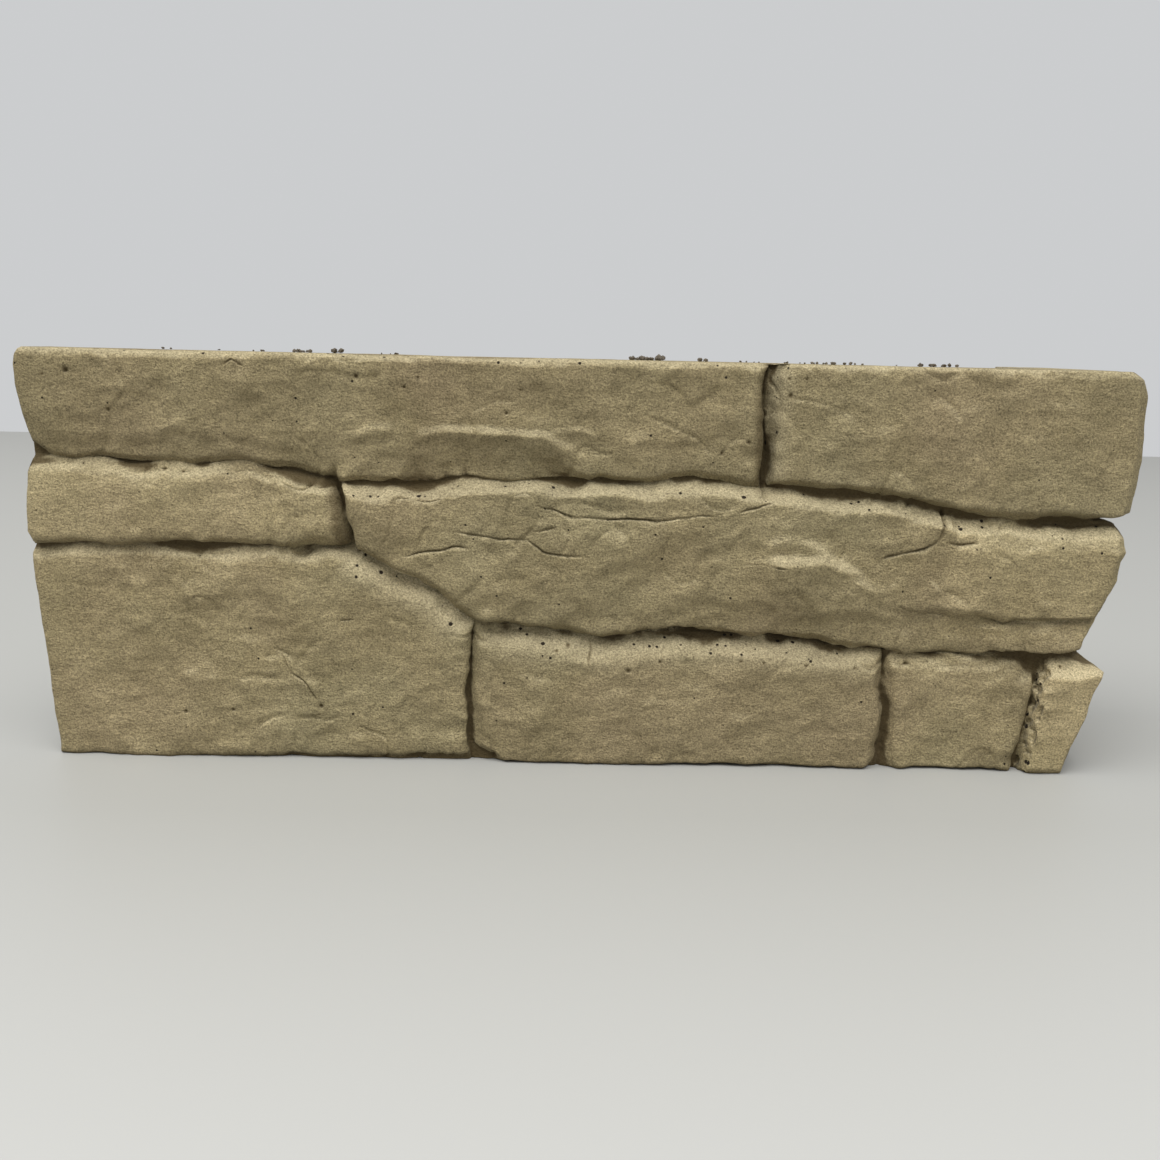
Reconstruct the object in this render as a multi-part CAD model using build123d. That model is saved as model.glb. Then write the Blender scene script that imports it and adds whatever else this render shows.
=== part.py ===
"""Corner piece of cast stone cladding: a long leg and a short return, faced with rough stones.

The piece stands on its bottom bed. X runs along the long leg, Y from the face to the wall, Z up.
The origin is at the middle of the bottom of its box. All sizes are in millimetres.
"""
import os
from math import hypot

from build123d import *

# Overall sizes
LENGTH = 480.0
HEIGHT = 180.0
RETURN_DEPTH = 100.0

# The thickness of each leg, and how far the stones stand out of the joints on the face and on the return
LEG_THICKNESS = 32.0
FACE_RELIEF = 10.0
RETURN_RELIEF = 15.0
BACKING_ARRIS = 4.0

# The joints' width at their floor, and how far the stones' edges draw in from there to the face
JOINT_WIDTH = 2.0
TOP_BEVEL = 6.5
WIDE_TOP_BEVEL = 10.0
BOTTOM_BEVEL = 4.0
SIDE_BEVEL = 2.0
WIDE_SIDE_BEVEL = 4.5
RIM_BEVEL = 3.0
CORNER_ARRIS = 5.0

# An edge that faces up or down by more than this share is a top or a bottom edge
BED_SHARE = 0.6

# The rounding of a stone's edge from the joint to the face, as shares of its height, of its bevel
# beside a joint and of its bevel on the panel's rim
ROUNDING = [(0.0, 0.0, 0.0), (0.5, 0.35, 0.0), (0.88, 0.75, 0.3), (1.0, 1.0, 1.0)]

# How far each stone's face lies behind the foremost one, and how far its top leans out
MIDDLE_BACK = 0.0
LONG_TOP_BACK = 2.5
LONG_TOP_LEAN = 1.5
SMALL_LEFT_BACK = 3.0
SMALL_LEFT_LEAN = -1.5
BIG_LEFT_BACK = 4.5
BIG_LEFT_LEAN = 1.0
LOW_MIDDLE_BACK = 3.0
LOW_SMALL_BACK = 4.0
TOP_RIGHT_BACK = 2.0
LOW_RIGHT_BACK = 1.0

# How far the two lower stones of the return lie behind the top one
RETURN_BACK = 4.0

# How far the step low on the middle stone goes back at its edge and at its foot, and how deep the slope
# below the long top stone's ledge reaches
STEP_BACK = 4.5
STEP_FOOT = 1.5
UNDERCUT = 7.0

# Where the corner's front arris is broken away along the face and the return, at its widest and at its end
CHIP_ALONG_FACE = 23.0
CHIP_ALONG_RETURN = 44.0
CHIP_END_ALONG_FACE = 7.0
CHIP_END_ALONG_RETURN = 11.0

# Planes of the panel's box, of the joints' floors and of the wall, and the depth of the stones' roots
LEFT = -LENGTH / 2
RIGHT = LENGTH / 2
FRONT = -RETURN_DEPTH / 2
BACK = RETURN_DEPTH / 2
FLOOR_Y = FRONT + FACE_RELIEF
FLOOR_X = RIGHT - RETURN_RELIEF
WALL_Y = FRONT + LEG_THICKNESS
WALL_X = RIGHT - LEG_THICKNESS
ROOT = (LEG_THICKNESS - max(FACE_RELIEF, RETURN_RELIEF)) / 2

# Lines of the joints, in hundredths of the panel's length from the left and of its height from the bottom
UPPER_BED_LEFT = [(0, 75), (9, 74), (20, 74.6), (25, 72), (28, 70.5)]
UPPER_BED_MIDDLE = [(28, 70.5), (32, 70), (37, 71.5), (42, 72.3), (48, 71), (51, 72.5), (56, 71.4),
                    (60, 73.5), (66, 71.5)]
UPPER_BED_RIGHT = [(66, 71.5), (72, 70.3), (78, 68.3), (83.7, 65.1)]
CORNER_BED = [(83.7, 65.1), (86, 63.8), (89.5, 63), (93, 65), (97, 64.2)]
LEFT_BED = [(0, 53.5), (14, 54.7), (29, 55.5)]
SLANTED_JOINT = [(29, 55.5), (31, 51.5), (34.5, 48), (37, 43.5), (40, 36.7)]
LOWER_BED = [(40, 36.7), (48, 34), (52, 33), (56, 34.2), (66.5, 34.7), (72, 33.5), (77.8, 31.3)]
LOWER_BED_RIGHT = [(77.8, 31.3), (80, 30.2), (91, 29.8)]
TOP_JOINT = [(66, 71.5), (65.7, 86), (66.5, 100)]
LOW_JOINT = [(78.6, 3.5), (78.5, 20), (77.8, 31.3)]
CORNER_JOINT = [(91.6, 0), (92.6, 15), (92.8, 26), (91, 29.8)]
MIDDLE_END = [(88, 30), (88, 60), (83.9, 61)]

# Outlines of the stones on the long leg, counter-clockwise
LONG_TOP = [(1.5, 74.8)] + UPPER_BED_LEFT[1:] + UPPER_BED_MIDDLE[1:] + TOP_JOINT[1:] + [(0, 100), (0, 78)]
SMALL_LEFT = LEFT_BED + UPPER_BED_LEFT[::-1]
BIG_LEFT = [(0, 0), (26, 0), (39.8, 1.5)] + SLANTED_JOINT[::-1] + LEFT_BED[1::-1]
MIDDLE = (SLANTED_JOINT + LOWER_BED[1:] + LOWER_BED_RIGHT[1:2] + MIDDLE_END
          + UPPER_BED_RIGHT[::-1] + UPPER_BED_MIDDLE[-2::-1])
LOW_MIDDLE = [(42, 0), (77.9, 0)] + LOW_JOINT + LOWER_BED[-2::-1] + [(39.8, 5)]
LOW_SMALL = [(79.3, 0)] + CORNER_JOINT + LOWER_BED_RIGHT[1::-1] + LOW_JOINT[1::-1]
TOP_RIGHT = UPPER_BED_RIGHT + CORNER_BED[1:] + [(97, 100)] + TOP_JOINT[:0:-1]

# The stones that turn the corner: where each starts on the face, and its heights at that start and at
# the corner, with the shares of its full height over the joints on the face and on the return; the low
# one's start slants to the right by this much on its way up
CORNER_TOP_START = 90
CORNER_TOP = [(64.6, 64.6, 0.1, 0.1), (66.5, 66.5, 1.0, 0.85), (78, 78, 1.0, 1.0), (95, 95, 1.0, 0.95),
              (98.3, 98.3, 1.0, 0.8), (100, 100, 0.8, 0.55)]
CORNER_MIDDLE_START = 83.2
CORNER_MIDDLE = [(31.5, 31.5, 0.1, 0.1), (33, 33, 1.0, 1.0), (57, 57, 1.0, 1.0), (61, 60, 0.75, 0.6),
                 (64, 62.5, 0.1, 0.1)]
CORNER_LOW_START = 91.8
CORNER_LOW_SLANT = 1.5
CORNER_LOW = [(0, 0, 0.75, 0.75), (1.7, 1.7, 1.0, 1.0), (26, 26, 1.0, 1.0), (29.5, 29.5, 0.1, 0.1)]

# The edge of the step low on the middle stone, with its share of the full depth there
LOW_STEP = [(76, 44.5, -0.2), (84, 41.2, 0.8), (102, 40, 1.0)]

# The ridge above the long top stone's undercut
UNDERCUT_RIDGE = [(33, 71.5), (35, 80.5), (40, 81.5), (46, 81), (50.5, 73.5)]

# Heights at which the broken arris is widest and where it ends, on the low and on the middle corner stone
LOW_CHIP = (-1, 29.5)
MIDDLE_CHIP = (30.5, 50)


def on_panel(across, up):
    """The place on the face of a point given in hundredths of its length and height."""
    return LEFT + LENGTH * across / 100, HEIGHT * up / 100


def drawn_in(outline, bevel, rim, top_bevel, side_bevel):
    """Corners of an outline, with each edge moved in by half its joint and a share of its bevel."""
    lines = []
    for start, end in zip(outline, outline[1:] + outline[:1]):
        (x0, z0), (x1, z1) = on_panel(*start), on_panel(*end)
        run = hypot(x1 - x0, z1 - z0)
        out_x, out_z = (z1 - z0) / run, (x0 - x1) / run
        if start[0] == end[0] == 0 or start[1] == end[1] in (0, 100):
            inset = rim * RIM_BEVEL
        elif out_z > BED_SHARE:
            inset = JOINT_WIDTH / 2 + bevel * top_bevel
        elif out_z < -BED_SHARE:
            inset = JOINT_WIDTH / 2 + bevel * BOTTOM_BEVEL
        else:
            inset = JOINT_WIDTH / 2 + bevel * side_bevel
        lines.append((out_x, out_z, out_x * x0 + out_z * z0 - inset))
    corners = []
    for (ax, az, a), (bx, bz, b) in zip(lines[-1:] + lines[:-1], lines):
        cross = ax * bz - az * bx
        corners.append(((a * bz - b * az) / cross, (ax * b - bx * a) / cross))
    return corners


def stone(outline, set_back, lean=0.0, top_bevel=TOP_BEVEL, side_bevel=SIDE_BEVEL):
    """A stone of the long leg, with a root in the backing, a rounded edge and a face that may lean out."""
    heights = [on_panel(*point)[1] for point in outline]
    middle = (min(heights) + max(heights)) / 2
    half = (max(heights) - min(heights)) / 2
    proud = FACE_RELIEF - set_back

    def section(height, bevel, rim):
        corners = drawn_in(outline, bevel, rim, top_bevel, side_bevel)
        return Wire.make_polygon(
            [Vector(x, FLOOR_Y - height * (proud + lean * (z - middle) / half), z) for x, z in corners])

    base = drawn_in(outline, 0, 0, top_bevel, side_bevel)
    root = Wire.make_polygon([Vector(x, FLOOR_Y + ROOT, z) for x, z in base])
    return Solid.make_loft([root] + [section(*step) for step in ROUNDING], ruled=True)


def undercut():
    """The slope from the long top stone's ledge back to the joint, as a solid to cut away."""
    face = FRONT + LONG_TOP_BACK
    inner, outer = face + UNDERCUT, face - UNDERCUT
    joint = on_panel(*UPPER_BED_MIDDLE[1])[1]
    below = joint - UNDERCUT

    def section(across, up):
        x, ridge = on_panel(across, up)
        above = 2 * ridge - joint
        profile = [(inner, joint), (outer, above), (outer, below), (inner, below)]
        return Wire.make_polygon([Vector(x, y, z) for y, z in profile])

    return Solid.make_loft([section(*point) for point in UNDERCUT_RIDGE], ruled=True)


def low_step():
    """The hollow under the middle stone's step, deepest at its edge, as a solid to cut away."""
    face = FRONT + MIDDLE_BACK
    outer = face - FACE_RELIEF
    low = on_panel(*LOWER_BED[-1])[1]

    def section(across, up, share):
        x, edge = on_panel(across, up)
        deep, shallow = face + share * STEP_BACK, face + share * STEP_FOOT
        profile = [(outer, low), (shallow, low), (deep, edge), (outer, edge)]
        return Wire.make_polygon([Vector(x, y, z) for y, z in profile])

    return Solid.make_loft([section(*point) for point in LOW_STEP], ruled=True)


def corner_stone(start, levels, front_back, side_back, slant=0.0):
    """A stone that turns the corner, lofted through L-shaped plan sections at its levels."""
    bottom, top = levels[0][0], levels[-1][0]

    def section(up_start, up_corner, front_share, side_share):
        left, low = on_panel(start + slant * (up_start - bottom) / (top - bottom), up_start)
        high = on_panel(0, up_corner)[1]
        rise = (high - low) / (RIGHT - left)
        front = FLOOR_Y - front_share * (FACE_RELIEF - front_back)
        side = FLOOR_X + side_share * (RETURN_RELIEF - side_back)
        plan = [(left, FLOOR_Y + ROOT), (left, FLOOR_Y), (left + SIDE_BEVEL, front),
                (side - CORNER_ARRIS, front), (side, front + CORNER_ARRIS), (side, BACK),
                (FLOOR_X - ROOT, BACK), (FLOOR_X - ROOT, FLOOR_Y + ROOT)]
        return Wire.make_polygon([Vector(x, y, low + rise * (x - left)) for x, y in plan])

    return Solid.make_loft([section(*level) for level in levels], ruled=True)


def chip(widest, end):
    """The wedge that is broken off the corner's arris between two heights, as a solid to cut away."""
    def section(up, along_face, along_return):
        height = HEIGHT * up / 100
        on_face = Vector(RIGHT - along_face, FRONT, height)
        on_return = Vector(RIGHT, FRONT + along_return, height)
        along = on_return - on_face
        beyond = Vector(RIGHT + LENGTH, FRONT - LENGTH, height)
        return Wire.make_polygon([on_face - along, on_return + along, beyond])

    return Solid.make_loft([section(widest, CHIP_ALONG_FACE, CHIP_ALONG_RETURN),
                            section(end, CHIP_END_ALONG_FACE, CHIP_END_ALONG_RETURN)], ruled=True)


def backing():
    """The plain cast body behind the stones."""
    plan = [(LEFT, FLOOR_Y), (FLOOR_X - BACKING_ARRIS, FLOOR_Y), (FLOOR_X, FLOOR_Y + BACKING_ARRIS),
            (FLOOR_X, BACK), (WALL_X, BACK), (WALL_X, WALL_Y), (LEFT, WALL_Y)]
    return extrude(make_face(Polyline(*plan, close=True)), HEIGHT)


def cladding_corner():
    """The whole casting, as one solid."""
    stones = [
        stone(LONG_TOP, LONG_TOP_BACK, LONG_TOP_LEAN).cut(undercut()),
        stone(SMALL_LEFT, SMALL_LEFT_BACK, SMALL_LEFT_LEAN),
        stone(BIG_LEFT, BIG_LEFT_BACK, BIG_LEFT_LEAN),
        stone(MIDDLE, MIDDLE_BACK).cut(low_step()),
        stone(LOW_MIDDLE, LOW_MIDDLE_BACK, 0, WIDE_TOP_BEVEL, WIDE_SIDE_BEVEL),
        stone(LOW_SMALL, LOW_SMALL_BACK, 0, WIDE_TOP_BEVEL, WIDE_SIDE_BEVEL),
        stone(TOP_RIGHT, TOP_RIGHT_BACK, side_bevel=WIDE_SIDE_BEVEL),
        corner_stone(CORNER_TOP_START, CORNER_TOP, TOP_RIGHT_BACK, 0),
        corner_stone(CORNER_MIDDLE_START, CORNER_MIDDLE, MIDDLE_BACK, RETURN_BACK).cut(low_step()),
        corner_stone(CORNER_LOW_START, CORNER_LOW, LOW_RIGHT_BACK, RETURN_BACK, CORNER_LOW_SLANT),
    ]
    return backing().fuse(*stones).cut(chip(*LOW_CHIP), chip(*MIDDLE_CHIP))


os.makedirs("parts", exist_ok=True)
export_step(cladding_corner(), "parts/cladding_corner.step")
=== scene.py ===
"""Looks of the stone cladding corner: its rough cast surface, its colours and a plain studio.

The surface is worked out in millimetres in the part's own frame. The scene's own lengths are in metres.
A value named TURN holds two limits for how far a surface faces some way, between which a share rises from
0 to 1.
"""
import itertools
import math

import bmesh
import bpy
import numpy as np
from mathutils import Matrix, Vector


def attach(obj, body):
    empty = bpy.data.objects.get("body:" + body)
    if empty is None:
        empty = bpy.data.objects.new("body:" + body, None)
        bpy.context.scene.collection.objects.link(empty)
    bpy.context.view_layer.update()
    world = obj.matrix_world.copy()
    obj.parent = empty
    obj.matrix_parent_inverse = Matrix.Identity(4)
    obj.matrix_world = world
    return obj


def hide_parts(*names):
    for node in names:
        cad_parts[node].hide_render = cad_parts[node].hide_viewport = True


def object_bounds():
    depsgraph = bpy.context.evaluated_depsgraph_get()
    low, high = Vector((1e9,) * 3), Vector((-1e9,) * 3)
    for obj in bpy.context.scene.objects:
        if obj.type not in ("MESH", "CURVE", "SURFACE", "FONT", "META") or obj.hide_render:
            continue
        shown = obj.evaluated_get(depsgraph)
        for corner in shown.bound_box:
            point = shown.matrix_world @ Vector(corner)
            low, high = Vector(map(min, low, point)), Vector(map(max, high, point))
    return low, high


MM = 0.001

# The even mesh that the relief is pressed into, how it is smoothed, and how many triangles are left
VOXEL = 0.8
SMOOTHING = 5
SMOOTH_FACTOR = 0.5
TRIANGLES = 190_000

# The random values behind the smooth noise, and the numbers that pick one of them for each corner
NOISE_VALUES = 2 ** 16
NOISE_PRIMES = (73856093, 19349663, 83492791)

# Seeds of the noises; a list of layers takes one seed more for each layer, or a step more for the waver
WAVER_SEED_STEP = 10
BUMP_SEED = 100
SCOOP_SEED = 150
PLAIN_SEED = 200
LAYER_SEED = 300
CREASE_SEED = 400
CREASE_PATCH_SEED = 401
HONEYCOMB_SEED = 500
WOBBLE_SEEDS = (600, 601)
CRACK_BREAK_SEED = 602
CRUMB_SEED = 7

# Where the stone facing begins, behind the foremost face and inside the return's outer face, over what reach,
# and how far a surface has to face its way
FACING_DEPTH = 24.0
FACING_BLEND = 6.0
FACING_TURN = (-0.3, 0.4)

# The share of a line's length at each end over which its relief fades out: for most lines, for those that
# follow a joint, and for the painted shade along the wide upright joints
LINE_FADE = 0.25
JOINT_FADE = 0.08
PAINTED_JOINT_SHADE_FADE = 0.15

# Widths and heights of the scooped hollows, whose middle level is given, and of the bumps on the face; the
# return's share of them, their share at both ends and over what reach; and the bumps on plain sides
STONE_SCOOPS = [(44.0, 3.0), (19.0, 1.6), (9.0, 0.9)]
SCOOP_LEVEL = 0.28
STONE_BUMPS = [(12.0, 0.4), (4.4, 0.32), (2.4, 0.22)]
RETURN_ROUGHNESS = 0.6
ROUGH_AT_ENDS = 0.3
ROUGH_RIM = 40.0
PLAIN_BUMPS = [(30.0, 0.25), (6.0, 0.12)]

# Widths and reach of the sideways waver that takes the straightness out of the joints, over what rim it fades
# out at the top and bottom, and what is left of it at both ends
WAVERS = [(34.0, 1.6), (13.0, 1.4), (6.5, 0.6)]
WAVER_RIM = 9.0
WAVER_LEFT_AT_ENDS = 0.12

# How far the stones' undersides hang down over the joints, and the depths between which that ends; past which
# place along the face and which height they hang less, over what reach, and what share is left there
DROOP = 2.4
DROOP_TURN = (0.05, 0.6)
DROOP_DEPTHS = (7.5, 9.5)
SLACK_START = 78.0
SLACK_LOW = 104.0
SLACK_REACH = 8.0
SLACK_SHARE = 0.35

# The depth past which the joints of the face are filled to a share, and where the deep corner joint begins
FILL_DEPTH = 6.0
FILL_SHARE = 0.55
FILL_END = 192.0

# Joints whose walls are drawn together: line, how far at most, and over what reach; the share of the gap
# that a wall may move, and the step for finding which way the line lies
TIGHT_JOINTS = [
    ([(-107, 106), (-101, 100), (-91, 93), (-74, 86), (-62, 78), (-48, 66), (-49, 30), (-49, -6)], 1.5, 7.0),
    ([(-252, 136), (-196.8, 133.2), (-144, 134.3), (-120, 129.6), (-105.6, 126.9), (-96, 124)], 1.4, 7.0),
    ([(-148, 98.8), (-122, 99.6), (-96, 100.2)], 1.3, 6.0),
]
TIGHTEST = 0.75
FEELER = 0.05

# How far the left end draws in and the return stands out, as (height, distance) points, and over what reach
LEFT_END = [(0, 5.0), (45, 2.8), (92, 0.4), (98, 2.0), (102, 0), (127, 0.4), (134, 3.0), (142, 2.4),
            (165, 0.2), (173, 0), (177, 1.0), (180, 3.2)]
LEFT_REACH = 36.0
RETURN_END = [(98, 0), (103, 1.8), (106, 3.8), (109, 6.2), (112, 8.6), (113.6, 9.6), (115, 5.0), (116, 0)]

# The thin layers in the stones: how long, deep and thick their streaks are, and how high
LAYERS = (16.0, 9.0, 3.4)
LAYER_HEIGHT = 0.3

# The fine creases of the stones: how far apart they are, how wide as a share of that, how deep, how wide the
# patches without them are, and the limits of the noise between which they open
CREASE_SPACING = 13.0
CREASE_SHARE = 0.09
CREASE_DEPTH = 0.7
CREASE_PATCH = 22.0
CREASE_OPEN = (0.0, 0.5)

# The badly filled wall beside the low corner stone: where it starts, over what edge, where it ends above, how
# wide and deep its holes are, and the limits of the noise between which they open
HONEYCOMB_START = 195.0
HONEYCOMB_EDGE = 2.0
HONEYCOMB_TOP = 52.0
HONEYCOMB_BLEND = 6.0
HONEYCOMB_TURN = (0.2, 0.7)
HONEYCOMB_SIZE = 2.6
HONEYCOMB_DEPTH = 2.0
HONEYCOMB_OPEN = (0.0, 0.4)

# Cracks on the face as (x, z) points, with their depth and half width; how dark their painted shade is, the
# size and reach of their wobble, how often they close along their way and what share is left there, the
# limits of the noise between which they open, and the band of finer mesh
CRACKS = [
    ([(-60, 107), (-40, 104), (-25, 103), (-17, 98), (3, 96)], 1.5, 0.4),
    ([(-25, 103), (-21, 107), (-11, 110)], 0.7, 0.4),
    ([(-83, 94), (-71, 97), (-47, 100)], 1.3, 0.4),
    ([(-27, 116), (-22, 118), (-4, 114), (11, 113), (32, 113), (66, 117)], 1.7, 0.4),
    ([(66, 117), (75, 121), (81, 122)], 1.2, 0.4),
    ([(156, 120.5), (155.8, 116), (155.6, 112), (153, 104)], 3.2, 0.9),
    ([(155.6, 112), (153.4, 107), (147, 103), (128, 97)], 2.2, 0.5),
    ([(156, 105.5), (163, 105), (172, 106)], 0.9, 0.6),
    ([(-138, 58), (-129.6, 43.7), (-127, 40)], 0.6, 0.35),
    ([(-130, 42), (-123, 37), (-116, 25)], 0.8, 0.35),
    ([(2.5, 62), (4, 54), (3, 45)], 0.8, 0.5),
    ([(7, 68), (10, 69.5), (15, 69)], 1.2, 0.4),
    ([(-153, 174), (-148, 177), (-142, 173)], 0.5, 0.4),
    ([(-107, 65), (-100, 65)], 1.0, 0.4),
    ([(68, 95), (89, 94)], 1.0, 0.4),
]
CRACK_DARK = 0.7
CRACK_WOBBLE = (6.0, 0.9)
CRACK_BREAKS = (8.0, 0.35)
CRACK_OPEN = (-0.5, 0.2)
FINE_BAND = 2.2

# Painted shade along the wide upright joints, with its half width and share
PAINTED_JOINT_SHADE = [
    ([(78, 188), (76.6, 176.6), (73.9, 165), (73.8, 152.4), (75.2, 135.5), (76, 122)], 2.4, 0.75),
    ([(-108, 132), (-108, 120), (-107, 110), (-104, 96)], 2.4, 0.75),
]

# Ridges on the face, with their half width and height
RIDGES = [
    ([(170, 67), (192, 67)], 1.4, 0.8),
    ([(-141, 55), (-151, 51), (-160, 40), (-178, 32)], 5.0, 1.2),
    ([(-131, 49), (-125, 37), (-116, 28)], 3.5, 1.0),
    ([(-102, 144), (-89, 149), (-80, 148)], 2.5, 1.2),
]

# Steps on the face: below the line, which runs to the left, the stone stands out over the width of an edge
# and falls back over a reach
STEPS = [
    ([(134, 78), (113, 91), (104, 95), (89, 94), (66, 95)], 4.0, 6.5, 20.0),
    ([(110, 96), (97, 103), (86, 105), (74, 100)], 1.6, 5.0, 7.0),
    ([(127, 78), (110, 84)], 1.0, 2.5, 5.0),
    ([(8, 146), (-3, 150), (-13, 149), (-20, 146)], 1.2, 3.0, 5.0),
    ([(-2, 137), (-18, 147), (-62, 148.5), (-78, 144)], 2.2, 4.5, 5.0),
]

# Slopes beside the joints: to the left of its line the face falls back by a depth, over a reach, and the fall
# starts a little to the right of it
SLOPES = [
    ([(-46, 64), (-62, 78), (-74, 86), (-91, 93), (-103, 100), (-130, 99)], 5.5, 11.0),
    ([(-106, 112), (-103, 100), (-91, 93), (-74, 86), (-62, 78), (-46, 64)], 3.2, 18.0),
    ([(135, 57), (105, 60.5), (79, 62.5), (29, 62), (10, 59.5), (-10, 61.5), (-46, 66)], 4.5, 12.0),
    ([(-46, 66), (-10, 61.5), (10, 59.5), (29, 62), (79, 62.5), (105, 60.5), (135, 57), (190, 54)],
     4.0, 22.0),
    ([(-240, 134), (-196, 133), (-145, 134), (-120, 130), (-100, 127)], 2.2, 12.0),
    ([(79, 192), (75.5, 155), (76.5, 120)], 7.0, 12.0),
    ([(76.5, 120), (75.5, 155), (79, 192)], 3.0, 6.0),
    ([(-100, 92), (-101, 100), (-105.6, 127), (-107, 134)], 4.5, 9.0),
    ([(137.5, -8), (136.8, 36), (133.4, 60)], 1.4, 6.0),
    ([(133.4, 60), (136.8, 36), (137.5, -8)], 1.2, 5.0),
    ([(-48, 72), (-49, 30), (-49, -8)], 1.8, 8.0),
    ([(236, 72.3), (200, 73.2), (163, 74.2), (148, 76.5)], 2.0, 2.0),
]
SLOPE_START = 1.5

# Painted light on lit bevels: to the left of its line the stone takes the dust colour over a reach, by a
# share, after a short start
PAINTED_LIGHT_EDGES = [
    ([(-46, 64), (-62, 78), (-74, 86), (-91, 93), (-103, 100)], 20.0, 1.0),
    ([(135, 56), (105, 59.5), (79, 61.5), (29, 61), (10, 58.5), (-10, 60.5), (-46, 65)], 19.0, 1.0),
    ([(79, 192), (76.5, 155), (77.5, 122)], 14.0, 0.8),
]
PAINTED_LIGHT_START = 1.0

# Hollows or, above zero, swellings of the face: middle, half length, half height, turn in degrees, height
SWELLINGS = [
    ((-240, 138), 22, 14, 0, -2.5),
    ((-6, 146), 11, 3.5, -8, -1.2),
    ((112, 102), 26, 7, -20, -1.4),
    ((100, 68), 40, 10, 0, -1.8),
    ((150, 69), 18, 5, 0, -1.5),
    ((163, 111.5), 6, 5, -20, 2.2),
    ((22, 84), 30, 9, 35, -2.2),
    ((-58, 82), 22, 10, -30, 1.4),
    ((62, 108), 34, 8, 4, 1.3),
    ((-150, 30), 44, 13, 25, 1.8),
    ((-100, 42), 16, 22, -20, -1.6),
    ((-205, 60), 20, 30, 0, -1.2),
    ((-40, 160), 40, 9, 0, -1.2),
    ((160, 150), 50, 14, 0, 1.2),
    ((20, 25), 50, 12, 0, 1.2),
]

# Large pits on the face, as (x, z, radius); their depth and the reach of the finer mesh, as shares of the
# radius, and the power that makes the edge of their painted shade sharp
PITS = [
    (-217, 171, 1.2), (-201, 155, 0.7), (-227, 169, 0.6), (-97, 171, 0.9), (-77, 167, 0.7), (-71, 171, 0.6),
    (-34, 157, 0.7), (-28, 167, 0.6), (69, 147, 0.9), (58, 142, 0.8), (86, 167, 0.8), (85, 174, 0.7),
    (92, 174, 0.6), (-180, 130, 0.8), (-172, 129, 0.6), (-124, 111, 0.6), (-176, 22, 0.8), (-155, 23, 0.7),
    (-116, 25, 0.9), (-117, 21, 0.6), (-6, 55, 0.9), (-11, 53, 0.7), (21, 45, 0.9), (35, 49, 0.7),
    (71, 50, 0.7), (81, 50, 0.6), (100, 49, 0.8), (122, 48, 0.7), (145, 50, 0.9), (207, 50, 0.8),
    (214, 50, 0.7),
]
PIT_DEPTH = 1.3
PIT_BAND = 1.5
PIT_EDGE = 4

# Painted shade: depths behind the foremost face and inside the return's outer face between which the joints
# turn dark, how dark undersides are painted, and how high and dark the painted contact shadow along the
# stones' foot is
FACE_DARK = (6.9, 8.0)
RETURN_DARK = (12.0, 15.0)
RETURN_TURN = (0.3, 0.7)
UNDER_DARK = 0.22
UNDER_TURN = (0.1, 0.8)
FOOT_HEIGHT = 2.2
FOOT_DARK = 0.6

# How much dust and painted light lie on what faces up, their share on plain sides, and what counts as the
# rear
DUST_AND_LIGHT_AMOUNT = 0.72
PLAIN_DUST_AND_LIGHT = 0.6
DUST_AND_LIGHT_TURN = (0.1, 0.75)
REAR_TURN = (0.3, 0.8)

# Paler stones: the middle of each, its half length and half height, and how much paler it is; where that ends
# as a share of the half size, and over what share
TONES = [
    ((-172, 116), 70, 17, 0.16),
    ((-145, 48), 94, 46, 0.11),
    ((30, 92), 120, 26, 0.04),
    ((200, 88), 42, 26, 0.22),
    ((166, 26), 27, 26, 0.11),
    ((222, 26), 20, 27, 0.38),
]
TONE_END = 1.1
TONE_BLEND = 0.2

# Loose grains on the top bed: heaps as (place along the face, number, largest size), the rows between which
# they lie and their spread along the face; and, as shares of the largest size or of their own, their sizes,
# how high their middle lies, their half sizes and how dented they are
CRUMB_HEAPS = [
    (-184, 2, 1.6), (-158, 2, 1.4), (-140, 3, 2.0), (-122, 12, 2.4), (-110, 3, 3.6), (-86, 4, 1.6),
    (25, 20, 2.8), (33, 5, 3.8), (49, 8, 2.4), (72, 4, 1.6), (92, 6, 1.8), (104, 8, 2.0), (117, 4, 2.2),
    (146, 4, 1.8), (156, 12, 2.6),
]
CRUMB_ROWS = (-27.0, -19.5)
CRUMB_SPREAD = 4.0
CRUMB_SIZES = (0.45, 1.0)
CRUMB_SEAT = 0.3
CRUMB_SHAPE = (0.5, 0.4, 0.38)
CRUMB_DENTS = (0.7, 1.3)

# Colours of the stone, of its dust and painted light, of the painted shade in joints, cracks, pits and under
# the stones, of specks and blow holes painted dark as the shade of small pits, of the rear, and of the crumbs
KHAKI = (0.31, 0.25, 0.133, 1)
BEIGE = (0.41, 0.335, 0.187, 1)
ROSY = (0.4, 0.3, 0.185, 1)
GREENISH = (0.34, 0.31, 0.18, 1)
DUST_AND_LIGHT = (0.475, 0.408, 0.257, 1)
SHADE = (0.085, 0.057, 0.022, 1)
SPECK = (0.09, 0.07, 0.04, 1)
HOLE = (0.03, 0.022, 0.014, 1)
REAR = (0.3, 0.27, 0.2, 1)
CRUMB_DARK = (0.07, 0.058, 0.042, 1)
CRUMB_PALE = (0.14, 0.116, 0.085, 1)

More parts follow.
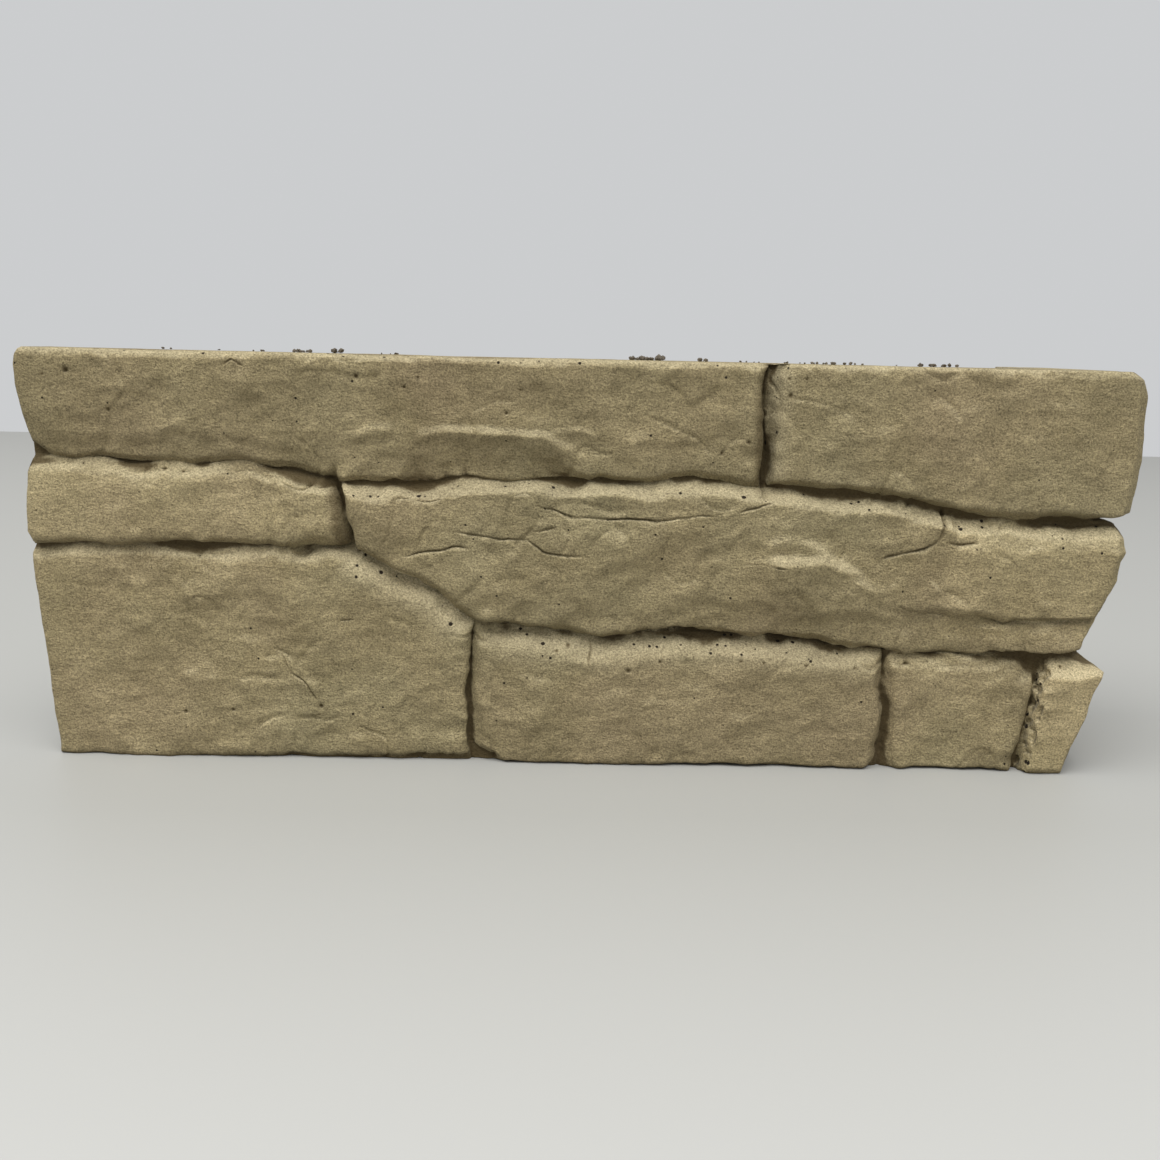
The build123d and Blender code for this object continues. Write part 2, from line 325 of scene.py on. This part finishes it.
# Textures, as the width of their grain and their levels of detail; how rough they are, and how much the
# layered ones are squeezed in height
SAND_GRAIN = (0.8, 6)
FLAKE_GRAIN = (3.4, 8)
SPECK_GRAIN = (0.9, 2)
STREAK_GRAIN = (14, 4)
PATCH_GRAIN = (34, 4)
TINT_GRAIN = (90, 2)
CRUMB_PATCHES = (1.5, 4)
CRUMB_GRAIN = (0.6, 3)
GRAIN_ROUGHNESS = 0.65
SQUEEZE = (1, 1, 1.8)

# What the textures do: two limits, and the share or strength at each, from 0 to 1 where none is given; and
# the largest shares of the rear's colour and of the shade
PATCH_LEVELS = (0.3, 0.7)
ROSY_LEVELS = (0.5, 0.75, 0.0, 0.35)
GREENISH_LEVELS = (0.5, 0.25, 0.0, 0.35)
DUST_AND_LIGHT_LEVELS = (0.2, 0.6, 0.55, 0.95)
TONE_LEVELS = (0.0, 1.0, 1.0, 2.0)
STREAK_LEVELS = (0.3, 0.7, 0.9, 1.1)
FLAKE_LEVELS = (0.35, 0.65, 0.9, 1.1)
SAND_LEVELS = (0.35, 0.65, 0.61, 1.39)
SPECK_LEVELS = (0.63, 0.7, 0.0, 0.65)
CRUMB_LEVELS = (0.3, 0.7)
REAR_SHARE = 0.7
SHADE_SHARE = 0.85

# Blow holes, painted dark as the shade inside small pits: the distance between their middles; as shares of
# that, how far they reach, by levels of a random value, on the stone, under dust and painted light and in
# the badly filled wall, and how soft their edge is
HOLE_SPACING = 3.4
FEW_HOLES = (0.93, 1.0, 0.0, 0.2)
MORE_HOLES = (0.55, 1.0, 0.0, 0.36)
MANY_HOLES = (0.2, 1.0, 0.0, 0.42)
HOLE_EDGE = 0.07

# Height of the stone's fine bumps, the share of it left under dust and painted light, and the flakes' and
# holes' shares; the strength and height of the crumbs' bumps; and how matt and how shiny the surfaces are
BUMP_HEIGHT = 2.0
BUMPS_UNDER_DUST_AND_LIGHT = 0.4
FLAKE_HEIGHT = 1.3
HOLE_HEIGHT = -0.8
STONE_ROUGHNESS = 0.92
STONE_SPECULAR = 0.2
CRUMB_STRENGTH = 0.6
CRUMB_HEIGHT = 0.4
CRUMB_ROUGHNESS = 0.95
FLOOR_ROUGHNESS = 0.5

# A mix node's sockets for its share and its two colours, and for the mixed colour
COLOUR_INPUTS = (0, 6, 7)
COLOUR_OUTPUT = 2

# The camera's place in millimetres, its turns in degrees and its lens
EYE = (-7.8, -509.2, 185.3)
PITCH = 12.16
ROLL = 1.33
YAW = 0.8
SENSOR = 36.0
LENS = 33.65

# The floor's half width, its colours at the piece and nearer by, where it is painted lighter as painted
# light, the places between which they change, the lamp, and the surrounding light as it lights and as it is
# seen, in the scene's units
FLOOR = 1.6
FLOOR_COLOUR = (0.355, 0.355, 0.335, 1)
FLOOR_NEAR = (0.5, 0.5, 0.485, 1)
FLOOR_SPAN = (-0.1, -0.5)
LAMP_SIZE = (4.5, 3.0)
LAMP_PLACE = (-0.45, -1.4, 3.3)
LAMP_AIM = (0.0, 0.0, 0.09)
LAMP_POWER = 219.0
WORLD_LIGHT = 0.45
WORLD_WHITE = (1, 1, 1, 1)
WORLD_COLOUR = (0.6, 0.61, 0.62, 1)


def smooth(value, low, high):
    """A share that rises smoothly from 0 at low to 1 at high."""
    share = np.clip((value - low) / (high - low), 0, 1)
    return share * share * (3 - 2 * share)


def noise(points, size, seed):
    """Smooth noise from -1 to 1 whose bumps are about as wide as size, one number or one for each axis."""
    random = np.random.default_rng(seed)
    values = random.uniform(-1, 1, NOISE_VALUES)
    turn = np.linalg.qr(random.normal(size=(3, 3)))[0]
    place = (points / size) @ turn
    cell = np.floor(place).astype(np.int64)
    part = place - cell
    part = part * part * (3 - 2 * part)
    total = np.zeros(len(points))
    for corner in itertools.product((0, 1), repeat=3):
        share = np.prod(np.where(corner, part, 1 - part), axis=1)
        total += share * values[(cell + corner) @ NOISE_PRIMES % NOISE_VALUES]
    return total


def beside(places, line):
    """Distance of (x, z) places from a line, above zero on its left, and their share of the way along it."""
    line = np.array(line, float)
    lengths = np.linalg.norm(np.diff(line, axis=0), axis=1)
    nearest = np.full(len(places), np.inf)
    side = np.ones(len(places))
    along = np.zeros(len(places))
    for start, end, length, before in zip(line, line[1:], lengths, np.cumsum(lengths) - lengths):
        way = (end - start) / length
        offset = places - start
        run = np.clip(offset @ way, 0, length)
        distance = np.linalg.norm(offset - run[:, None] * way, axis=1)
        closer = distance < nearest
        nearest[closer] = distance[closer]
        side[closer] = np.sign(way[0] * offset[closer, 1] - way[1] * offset[closer, 0])
        along[closer] = (before + run[closer]) / lengths.sum()
    return nearest * side, along


def end_fade(along, share=LINE_FADE):
    """Fades a line's relief out over a share of its length at both ends."""
    return smooth(along, 0, share) * smooth(1 - along, 0, share)


def band(places, line, width, height=1.0, fade=LINE_FADE):
    """Height at (x, z) places of a soft band along a line, with its half width."""
    distance, along = beside(places, line)
    return height * np.exp(-(distance / width) ** 2) * end_fade(along, fade)


def away_from(places, x, z):
    """Distance of (x, z) places from one place."""
    return np.hypot(places[:, 0] - x, places[:, 1] - z)


def flat_noise(places, size, seed):
    """Smooth noise at (x, z) places, the same at every depth."""
    return noise(np.column_stack([places, np.zeros(len(places))]), size, seed)


def wobbled(places):
    """The (x, z) places moved a little to and fro, so that a line drawn there isn't straight."""
    size, reach = CRACK_WOBBLE
    return places + reach * np.column_stack([flat_noise(places, size, seed) for seed in WOBBLE_SEEDS])


def crack_openness(places):
    """How open the cracks are at (x, z) places, since they close and open again along their way."""
    size, left = CRACK_BREAKS
    return left + (1 - left) * smooth(flat_noise(places, size, CRACK_BREAK_SEED), *CRACK_OPEN)


def slope_relief(places):
    """Height of the slopes beside the joints at (x, z) places of the CAD face."""
    height = np.zeros(len(places))
    for line, depth, reach in SLOPES:
        distance, along = beside(places, line)
        share = smooth(distance, -SLOPE_START, 0) * smooth(reach - distance, 0, reach)
        height -= depth * share * end_fade(along, JOINT_FADE)
    return height


def face_relief(places):
    """Height of the cracks, ridges, steps, swellings and pits at (x, z) places on the face."""
    height = np.zeros(len(places))
    wandering = wobbled(places)
    openness = crack_openness(places)
    for line, depth, width in CRACKS:
        height -= depth * openness * band(wandering, line, width)
    for line, width, rise in RIDGES:
        height += band(places, line, width, rise)
    for line, rise, edge, reach in STEPS:
        distance, along = beside(places, line)
        fall = np.exp(-np.maximum(distance, 0) / reach)
        height += rise * smooth(distance, -edge, 0) * fall * end_fade(along)
    for middle, length, width, turn, rise in SWELLINGS:
        offset = places - middle
        cos, sin = math.cos(math.radians(turn)), math.sin(math.radians(turn))
        across = (offset[:, 0] * cos + offset[:, 1] * sin) / length
        up = (offset[:, 1] * cos - offset[:, 0] * sin) / width
        height += rise * np.exp(-(across ** 2 + up ** 2))
    for x, z, radius in PITS:
        height -= PIT_DEPTH * radius * np.exp(-(away_from(places, x, z) / radius) ** 2)
    return height


def read(mesh, field):
    """A three-number field of the mesh's vertices, as an array."""
    values = np.empty(len(mesh.vertices) * 3, np.float32)
    mesh.vertices.foreach_get(field, values)
    return values.reshape(-1, 3).astype(float)


def facing_share(points, normals, low, high):
    """How far each point belongs to the stone facing of the face, and of the return."""
    face_start = low[1] + FACING_DEPTH
    return_start = high[0] - FACING_DEPTH
    face = smooth(-normals[:, 1], *FACING_TURN) * smooth(face_start - points[:, 1], 0, FACING_BLEND)
    side = smooth(normals[:, 0], *FACING_TURN) * smooth(points[:, 0] - return_start, 0, FACING_BLEND)
    return face, side


def honeycomb_share(points, normals):
    """Where the casting is honeycombed: on the low corner stone's wall, which faces the joint beside it."""
    begun = smooth(points[:, 0], HONEYCOMB_START - HONEYCOMB_EDGE, HONEYCOMB_START)
    wall = smooth(-normals[:, 0], *HONEYCOMB_TURN) * begun
    return wall * smooth(HONEYCOMB_TOP - points[:, 2], 0, HONEYCOMB_BLEND)


def apply_modifier(piece, kind, **settings):
    """Adds a modifier to the piece and applies it to its mesh."""
    modifier = piece.modifiers.new(kind, kind)
    for name, value in settings.items():
        setattr(modifier, name, value)
    with bpy.context.temp_override(object=piece, active_object=piece):
        bpy.ops.object.modifier_apply(modifier=modifier.name)


def refine(mesh):
    """Makes the mesh finer beside the cracks and pits."""
    points = read(mesh, "co") / MM
    ends = np.empty(len(mesh.edges) * 2, np.int32)
    mesh.edges.foreach_get("vertices", ends)
    middles = points[ends.reshape(-1, 2)].mean(axis=1)
    places = middles[:, [0, 2]]
    near = np.zeros(len(places), bool)
    for line, *_ in CRACKS:
        near |= np.abs(beside(places, line)[0]) < FINE_BAND
    for x, z, radius in PITS:
        near |= away_from(places, x, z) < PIT_BAND * radius
    near &= middles[:, 1] < middles[:, 1].min() + FACING_DEPTH
    fine = bmesh.new()
    fine.from_mesh(mesh)
    fine.edges.ensure_lookup_table()
    edges = [fine.edges[index] for index in np.flatnonzero(near)]
    bmesh.ops.subdivide_edges(fine, edges=edges, cuts=1, use_grid_fill=True)
    fine.to_mesh(mesh)
    fine.free()


def close_joints(points, normals, face, side, low):
    """Fills the joints of the face, lets the stones hang over them and shapes the two ends."""
    depth = points[:, 1] - low[1]
    filled = face * smooth(FILL_END - points[:, 0], 0, FACING_BLEND)
    points[:, 1] -= filled * (1 - FILL_SHARE) * np.maximum(depth - FILL_DEPTH, 0)
    droop = DROOP * smooth(-normals[:, 2], *DROOP_TURN) * (1 - smooth(depth, *DROOP_DEPTHS))
    slack = smooth(points[:, 0] - SLACK_START, 0, SLACK_REACH)
    slack *= smooth(points[:, 2] - SLACK_LOW, 0, SLACK_REACH)
    droop *= 1 - (1 - SLACK_SHARE) * slack
    points[:, 2] -= filled * droop * smooth(points[:, 2], 0, WAVER_RIM)
    near_left = smooth(LEFT_REACH - (points[:, 0] - low[0]), 0, LEFT_REACH)
    points[:, 0] += near_left * np.interp(points[:, 2], *zip(*LEFT_END))
    points[:, 0] += side * np.interp(points[:, 2], *zip(*RETURN_END))


def tighten(points, face):
    """Draws the walls of the tight joints of the face together."""
    for line, pull, reach in TIGHT_JOINTS:
        places = points[:, [0, 2]]
        distance, along = beside(places, line)
        near = np.flatnonzero((np.abs(distance) < reach) & (face > 0))
        gap = np.abs(distance[near])
        move = np.minimum(pull * smooth(reach - gap, 0, reach), TIGHTEST * gap) * np.sign(distance[near])
        move *= face[near] * end_fade(along[near], JOINT_FADE)
        for axis, step in ((0, (FEELER, 0)), (2, (0, FEELER))):
            away = (beside(places[near] + step, line)[0] - distance[near]) / FEELER
            points[near, axis] -= move * away


def waver(points):
    """Sideways moves along and up the face that take the straightness out of the joints."""
    moves = np.zeros_like(points)
    for layer, (size, reach) in enumerate(WAVERS):
        for axis in (0, 2):
            moves[:, axis] += reach * noise(points, size, WAVER_SEED_STEP * layer + axis)
    return moves


def rough_height(points, stone, rough):
    """Height of the layers, hollows, bumps and creases of the stones, and of the bumps on plain sides."""
    height = rough * LAYER_HEIGHT * noise(points, np.array(LAYERS), LAYER_SEED)
    for layer, (size, rise) in enumerate(STONE_SCOOPS):
        height += rough * rise * (SCOOP_LEVEL - np.abs(noise(points, size, SCOOP_SEED + layer)))
    for layer, (size, rise) in enumerate(STONE_BUMPS):
        height += rough * rise * noise(points, size, BUMP_SEED + layer)
    for layer, (size, rise) in enumerate(PLAIN_BUMPS):
        height += (1 - stone) * rise * noise(points, size, PLAIN_SEED + layer)
    crease = np.exp(-(noise(points, CREASE_SPACING, CREASE_SEED) / CREASE_SHARE) ** 2)
    patch = smooth(noise(points, CREASE_PATCH, CREASE_PATCH_SEED), *CREASE_OPEN)
    return height - rough * CREASE_DEPTH * crease * patch


def relief(piece, low, high):
    """Presses the relief of the stones into the even mesh of the piece."""
    points = read(piece.data, "co") / MM
    normals = read(piece.data, "normal")
    face, side = facing_share(points, normals, low, high)
    stone = np.maximum(face, side)
    slopes = face * slope_relief(points[:, [0, 2]])
    tighten(points, face)
    close_joints(points, normals, face, side, low)
    inside = smooth(points[:, 2], 0, WAVER_RIM) * smooth(high[2] - points[:, 2], 0, WAVER_RIM)
    from_end = np.minimum(points[:, 0] - low[0], high[0] - points[:, 0])
    inside *= WAVER_LEFT_AT_ENDS + (1 - WAVER_LEFT_AT_ENDS) * smooth(from_end, 0, WAVER_RIM)
    points += waver(points) * (inside * stone)[:, None]
    rough = np.maximum(face, RETURN_ROUGHNESS * side)
    rough *= ROUGH_AT_ENDS + (1 - ROUGH_AT_ENDS) * smooth(from_end, 0, ROUGH_RIM)
    height = rough_height(points, stone, rough)
    hollow = smooth(noise(points, HONEYCOMB_SIZE, HONEYCOMB_SEED), *HONEYCOMB_OPEN)
    height -= face * HONEYCOMB_DEPTH * hollow * honeycomb_share(points, normals)
    points += normals * height[:, None]
    points[:, 1] -= slopes + face * face_relief(points[:, [0, 2]])
    points[:, 2] = np.clip(points[:, 2], 0, high[2])
    piece.data.vertices.foreach_set("co", (points * MM).astype(np.float32).ravel())
    piece.data.update()


def mark(mesh, name, shares):
    """Keeps a share for each vertex, for the material to read."""
    mesh.attributes.new(name, "FLOAT", "POINT").data.foreach_set("value", shares.astype(np.float32))


def painted_crevice_shade(places):
    """How dark the painted shade of cracks, wide upright joints and pits is at (x, z) places on the face."""
    dark = np.zeros(len(places))
    wandering = wobbled(places)
    darkness = CRACK_DARK * crack_openness(places)
    for line, _, width in CRACKS:
        dark = np.maximum(dark, darkness * band(wandering, line, width))
    for line, width, share in PAINTED_JOINT_SHADE:
        dark = np.maximum(dark, band(wandering, line, width, share, PAINTED_JOINT_SHADE_FADE))
    for x, z, radius in PITS:
        dark = np.maximum(dark, np.exp(-(away_from(places, x, z) / radius) ** PIT_EDGE))
    return dark


def painted_shade_share(points, normals, face, side, low, high):
    """How dark the painted shade of the joints, the cracks, the undersides and the foot of the stones is."""
    places = points[:, [0, 2]]
    stone = np.maximum(face, side)
    depth = points[:, 1] - low[1] + face * slope_relief(places)
    # Painted shade in the joints, past a depth behind the face and inside the return
    joint = face * smooth(depth, *FACE_DARK)
    turned = (1 - smooth(-normals[:, 1], *RETURN_TURN)) * smooth(high[2] - points[:, 2], 0, FACING_BLEND)
    joint = np.maximum(joint, turned * side * smooth(high[0] - points[:, 0], *RETURN_DARK))
    # Painted shade on undersides, and a painted contact shadow along the foot
    under = stone * smooth(-normals[:, 2], *UNDER_TURN)
    foot = FOOT_DARK * stone * smooth(FOOT_HEIGHT - points[:, 2], 0, FOOT_HEIGHT)
    return np.clip(np.maximum(joint, face * painted_crevice_shade(places)) + UNDER_DARK * under + foot, 0, 1)


def dust_and_light_share(points, normals, face, stone):
    """How much dust and painted light lie on what faces up, and painted light along the lit bevels."""
    dust_and_light = DUST_AND_LIGHT_AMOUNT * np.maximum(stone, PLAIN_DUST_AND_LIGHT) * smooth(normals[:, 2], *DUST_AND_LIGHT_TURN)
    # Painted light: the lit bevels beside these joints are painted paler
    for line, reach, share in PAINTED_LIGHT_EDGES:
        distance, along = beside(points[:, [0, 2]], line)
        pale = share * smooth(distance, 0, PAINTED_LIGHT_START) * smooth(reach - distance, 0, reach)
        dust_and_light = np.maximum(dust_and_light, face * (pale * end_fade(along, JOINT_FADE)))
    return dust_and_light


def tone_share(places):
    """How much paler the stones are at (x, z) places."""
    tone = np.zeros(len(places))
    for middle, length, width, rise in TONES:
        edge = np.max(np.abs(places - middle) / (length, width), axis=1)
        tone = np.maximum(tone, rise * smooth(TONE_END - edge, 0, TONE_BLEND))
    return tone


def shading_marks(mesh, low, high):
    """Marks painted shade, honeycomb, dust and painted light, paler and plain places, for the material."""
    points = read(mesh, "co") / MM
    normals = read(mesh, "normal")
    face, side = facing_share(points, normals, low, high)
    stone = np.maximum(face, side)
    honeycomb = face * honeycomb_share(points, normals)
    mark(mesh, "painted_shade", painted_shade_share(points, normals, face, side, low, high) * (1 - honeycomb))
    mark(mesh, "honeycomb", honeycomb)
    mark(mesh, "dust_and_light", dust_and_light_share(points, normals, face, stone))
    mark(mesh, "tone", stone * tone_share(points[:, [0, 2]]))
    mark(mesh, "plain", (1 - stone) * smooth(normals[:, 1] - normals[:, 0], *REAR_TURN))


def new_object(name, data):
    """A new object in the scene."""
    thing = bpy.data.objects.new(name, data)
    bpy.context.scene.collection.objects.link(thing)
    return thing


def stone_body(node, low, high):
    """The cast piece: a fine copy of the CAD solid, whose box is in millimetres, with its stones' relief."""
    piece = new_object("stone_body", node.data.copy())
    piece.data.materials.clear()
    apply_modifier(piece, "REMESH", mode="VOXEL", voxel_size=VOXEL * MM)
    apply_modifier(piece, "SMOOTH", factor=SMOOTH_FACTOR, iterations=SMOOTHING)
    refine(piece.data)
    relief(piece, low, high)
    share = TRIANGLES / sum(len(face.vertices) - 2 for face in piece.data.polygons)
    apply_modifier(piece, "DECIMATE", ratio=share, use_collapse_triangulate=True)
    piece.data.polygons.foreach_set("use_smooth", np.ones(len(piece.data.polygons), bool))
    shading_marks(piece.data, low, high)
    return piece


def crumbs(top):
    """Loose grains that lie along the back of the top bed."""
    random = np.random.default_rng(CRUMB_SEED)
    grains = bmesh.new()
    for middle, count, size in CRUMB_HEAPS:
        for _ in range(count):
            wide = size * random.uniform(*CRUMB_SIZES)
            along = middle + random.normal(0, CRUMB_SPREAD)
            spot = (along, random.uniform(*CRUMB_ROWS), top + CRUMB_SEAT * wide)
            turn = Matrix.Rotation(random.uniform(0, math.tau), 4, "Z")
            shape = Matrix.Diagonal([share * wide for share in CRUMB_SHAPE]).to_4x4()
            crumb = bmesh.ops.create_icosphere(grains, subdivisions=1, radius=1)["verts"]
            for vert in crumb:
                vert.co *= random.uniform(*CRUMB_DENTS)
            bmesh.ops.transform(grains, matrix=Matrix.Translation(spot) @ turn @ shape, verts=crumb)
    bmesh.ops.scale(grains, vec=(MM, MM, MM), verts=grains.verts)
    mesh = bpy.data.meshes.new("crumbs")
    grains.to_mesh(mesh)
    grains.free()
    return new_object("crumbs", mesh)


def put(tree, socket, value):
    """Feeds a socket from another node, or sets it to a plain value."""
    if isinstance(value, bpy.types.NodeSocket):
        tree.links.new(value, socket)
    else:
        socket.default_value = value


def add(tree, kind, inputs, **settings):
    """Adds a shader node with its settings and inputs."""
    node = tree.nodes.new("ShaderNode" + kind)
    for name, value in settings.items():
        setattr(node, name, value)
    for name, value in inputs.items():
        put(tree, node.inputs[name], value)
    return node


def blend(tree, mode, share, first, second):
    """Mixes two colours and returns the mixed colour."""
    node = add(tree, "Mix", {}, data_type="RGBA", blend_type=mode)
    for index, value in zip(COLOUR_INPUTS, (share, first, second)):
        put(tree, node.inputs[index], value)
    return node.outputs[COLOUR_OUTPUT]


def level(tree, value, low, high, start=0.0, end=1.0):
    """Spreads a value between two limits over a new range."""
    limits = {"Value": value, "From Min": low, "From Max": high, "To Min": start, "To Max": end}
    return add(tree, "MapRange", limits).outputs["Result"]


def combine(tree, operation, first, second):
    """The result of an operation on two values."""
    node = add(tree, "Math", {}, operation=operation)
    put(tree, node.inputs[0], first)
    put(tree, node.inputs[1], second)
    return node.outputs[0]


def times(tree, first, second):
    """The product of two values."""
    return combine(tree, "MULTIPLY", first, second)


def sum_of(tree, first, second):
    """The sum of two values."""
    return combine(tree, "ADD", first, second)


def grain(tree, place, size, detail):
    """Noise whose bumps are about as wide as size in millimetres."""
    inputs = {"Vector": place, "Scale": 1 / (size * MM), "Detail": detail, "Roughness": GRAIN_ROUGHNESS}
    return add(tree, "TexNoise", inputs).outputs[0]


def attribute(tree, name):
    """A share that the mesh keeps at its vertices."""
    return add(tree, "Attribute", {}, attribute_name=name).outputs["Fac"]


def bump(tree, strength, height, shares):
    """A bumpy normal, from shares of a height in millimetres."""
    inputs = {"Strength": strength, "Distance": height * MM, "Height": shares}
    return add(tree, "Bump", inputs).outputs["Normal"]


def new_material(name, roughness):
    """A new material, its node tree, its shader and the places on the piece that wears it."""
    material = bpy.data.materials.new(name)
    material.use_nodes = True
    tree = material.node_tree
    shader = tree.nodes["Principled BSDF"]
    shader.inputs["Roughness"].default_value = roughness
    return material, tree, shader, add(tree, "TexCoord", {}).outputs["Object"]


def blow_holes(tree, place, dust_and_light):
    """Where the small blow holes are: few on stone, more under dust and painted light, many in the badly
    filled wall.
    """
    cells = add(tree, "TexVoronoi", {"Vector": place, "Scale": 1 / (HOLE_SPACING * MM)})
    chance = add(tree, "SeparateColor", {"Color": cells.outputs["Color"]}).outputs["Red"]
    few, more, many = (level(tree, chance, *levels) for levels in (FEW_HOLES, MORE_HOLES, MANY_HOLES))
    reach = add(tree, "Mix", {"Factor": dust_and_light, "A": few, "B": more}).outputs["Result"]
    honeycomb = attribute(tree, "honeycomb")
    reach = add(tree, "Mix", {"Factor": honeycomb, "A": reach, "B": many}).outputs["Result"]
    return level(tree, sum_of(tree, reach, times(tree, cells.outputs["Distance"], -1.0)), 0.0, HOLE_EDGE)


def stone_material():
    """Beige cast stone, patchy and grainy, pale with dust and painted light, painted shade in joints and
    holes.
    """
    material, tree, shader, place = new_material("cast_stone", STONE_ROUGHNESS)
    layered = add(tree, "Mapping", {"Vector": place, "Scale": SQUEEZE}).outputs["Vector"]
    sand = grain(tree, place, *SAND_GRAIN)
    flakes = grain(tree, layered, *FLAKE_GRAIN)
    specks = grain(tree, place, *SPECK_GRAIN)
    streaks = grain(tree, layered, *STREAK_GRAIN)
    patches = grain(tree, place, *PATCH_GRAIN)
    tints = grain(tree, place, *TINT_GRAIN)
    dust_and_light = attribute(tree, "dust_and_light")
    holes = blow_holes(tree, place, dust_and_light)

    colour = blend(tree, "MIX", level(tree, patches, *PATCH_LEVELS), KHAKI, BEIGE)
    colour = blend(tree, "MIX", level(tree, tints, *ROSY_LEVELS), colour, ROSY)
    colour = blend(tree, "MIX", level(tree, tints, *GREENISH_LEVELS), colour, GREENISH)
    # Dust, and painted light on what faces up and on the lit bevels, mixed in as the pale dust colour
    colour = blend(tree, "MIX", times(tree, dust_and_light, level(tree, sand, *DUST_AND_LIGHT_LEVELS)), colour, DUST_AND_LIGHT)
    colour = blend(tree, "MIX", times(tree, attribute(tree, "plain"), REAR_SHARE), colour, REAR)
    strengths = (
        (attribute(tree, "tone"), TONE_LEVELS),
        (streaks, STREAK_LEVELS),
        (flakes, FLAKE_LEVELS),
        (sand, SAND_LEVELS),
    )
    for texture, levels in strengths:
        colour = blend(tree, "MULTIPLY", 1.0, colour, level(tree, texture, *levels))
    # Specks: painted shade of tiny pits
    colour = blend(tree, "MIX", level(tree, specks, *SPECK_LEVELS), colour, SPECK)
    # Painted shade in the joints, cracks and pits, under the stones and along their foot
    colour = blend(tree, "MIX", times(tree, attribute(tree, "painted_shade"), SHADE_SHARE), colour, SHADE)
    # Blow holes painted near black, as painted shade inside them
    put(tree, shader.inputs["Base Color"], blend(tree, "MIX", holes, colour, HOLE))

    rough = level(tree, dust_and_light, 0, 1, 1.0, BUMPS_UNDER_DUST_AND_LIGHT)
    flake_bumps = times(tree, rough, times(tree, flakes, FLAKE_HEIGHT))
    height = sum_of(tree, times(tree, rough, sand), flake_bumps)
    height = sum_of(tree, height, times(tree, holes, HOLE_HEIGHT))
    put(tree, shader.inputs["Normal"], bump(tree, 1.0, BUMP_HEIGHT, height))
    shader.inputs["Specular IOR Level"].default_value = STONE_SPECULAR
    return material


def crumb_material():
    """Dark grey-brown grains of the core."""
    material, tree, shader, place = new_material("crumbs", CRUMB_ROUGHNESS)
    patches = level(tree, grain(tree, place, *CRUMB_PATCHES), *CRUMB_LEVELS)
    put(tree, shader.inputs["Base Color"], blend(tree, "MIX", patches, CRUMB_DARK, CRUMB_PALE))
    fine = grain(tree, place, *CRUMB_GRAIN)
    put(tree, shader.inputs["Normal"], bump(tree, CRUMB_STRENGTH, CRUMB_HEIGHT, fine))
    return material


def add_camera():
    """The camera at the photograph's place."""
    data = bpy.data.cameras.new("camera")
    data.sensor_width = SENSOR
    data.lens = LENS
    camera = new_object("camera", data)
    heading = Matrix.Rotation(math.radians(-YAW), 4, "Z")
    tilt = Matrix.Rotation(math.radians(90 - PITCH), 4, "X")
    roll = Matrix.Rotation(math.radians(ROLL), 4, "Z")
    camera.matrix_world = Matrix.Translation(Vector(EYE) * MM) @ heading @ tilt @ roll
    bpy.context.scene.camera = camera


def add_floor():
    """A pale floor, painted lighter nearer by as painted light."""
    mesh = bpy.data.meshes.new("floor")
    corners = [(-FLOOR, -FLOOR, 0), (FLOOR, -FLOOR, 0), (FLOOR, FLOOR, 0), (-FLOOR, FLOOR, 0)]
    mesh.from_pydata(corners, [], [(0, 1, 2, 3)])
    floor = new_object("floor", mesh)
    material, tree, shader, place = new_material("floor", FLOOR_ROUGHNESS)
    # Painted light: the floor grows lighter towards the camera
    ahead = level(tree, add(tree, "SeparateXYZ", {"Vector": place}).outputs["Y"], *FLOOR_SPAN)
    put(tree, shader.inputs["Base Color"], blend(tree, "MIX", ahead, FLOOR_COLOUR, FLOOR_NEAR))
    mesh.materials.append(material)


def add_light():
    """A wide soft lamp overhead and an even pale surrounding."""
    data = bpy.data.lights.new("ceiling", "AREA")
    data.shape = "RECTANGLE"
    data.size, data.size_y = LAMP_SIZE
    data.energy = LAMP_POWER
    lamp = new_object("ceiling", data)
    lamp.location = LAMP_PLACE
    lamp.rotation_euler = (Vector(LAMP_AIM) - lamp.location).to_track_quat("-Z", "Y").to_euler()
    world = bpy.data.worlds.new("studio")
    world.use_nodes = True
    tree = world.node_tree
    lit = tree.nodes["Background"]
    lit.inputs["Color"].default_value = WORLD_WHITE
    lit.inputs["Strength"].default_value = WORLD_LIGHT
    seen = add(tree, "Background", {"Color": WORLD_COLOUR, "Strength": 1.0})
    rays = add(tree, "LightPath", {})
    shown = sum_of(tree, rays.outputs["Is Camera Ray"], rays.outputs["Is Glossy Ray"])
    shown = level(tree, sum_of(tree, shown, rays.outputs["Is Transmission Ray"]), 0, 1)
    either = add(tree, "MixShader", {})
    for socket, value in zip(either.inputs, (shown, lit.outputs[0], seen.outputs[0])):
        put(tree, socket, value)
    put(tree, tree.nodes["World Output"].inputs["Surface"], either.outputs[0])
    bpy.context.scene.world = world


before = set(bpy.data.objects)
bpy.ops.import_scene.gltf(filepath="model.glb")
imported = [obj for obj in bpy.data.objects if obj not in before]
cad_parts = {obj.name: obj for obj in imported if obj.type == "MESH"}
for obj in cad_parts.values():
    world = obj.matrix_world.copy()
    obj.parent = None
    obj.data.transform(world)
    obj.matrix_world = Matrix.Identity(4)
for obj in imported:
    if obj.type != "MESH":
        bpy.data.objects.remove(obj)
cad_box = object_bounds()
bpy.context.scene.view_settings.view_transform = "Standard"
low, high = (np.array(corner, float) / MM for corner in cad_box)
body = stone_body(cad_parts["cladding_corner"], low, high)
body.data.materials.append(stone_material())
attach(body, "root")
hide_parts("cladding_corner")
loose = crumbs(high[2])
loose.data.materials.append(crumb_material())
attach(loose, "root")
add_camera()
add_floor()
add_light()
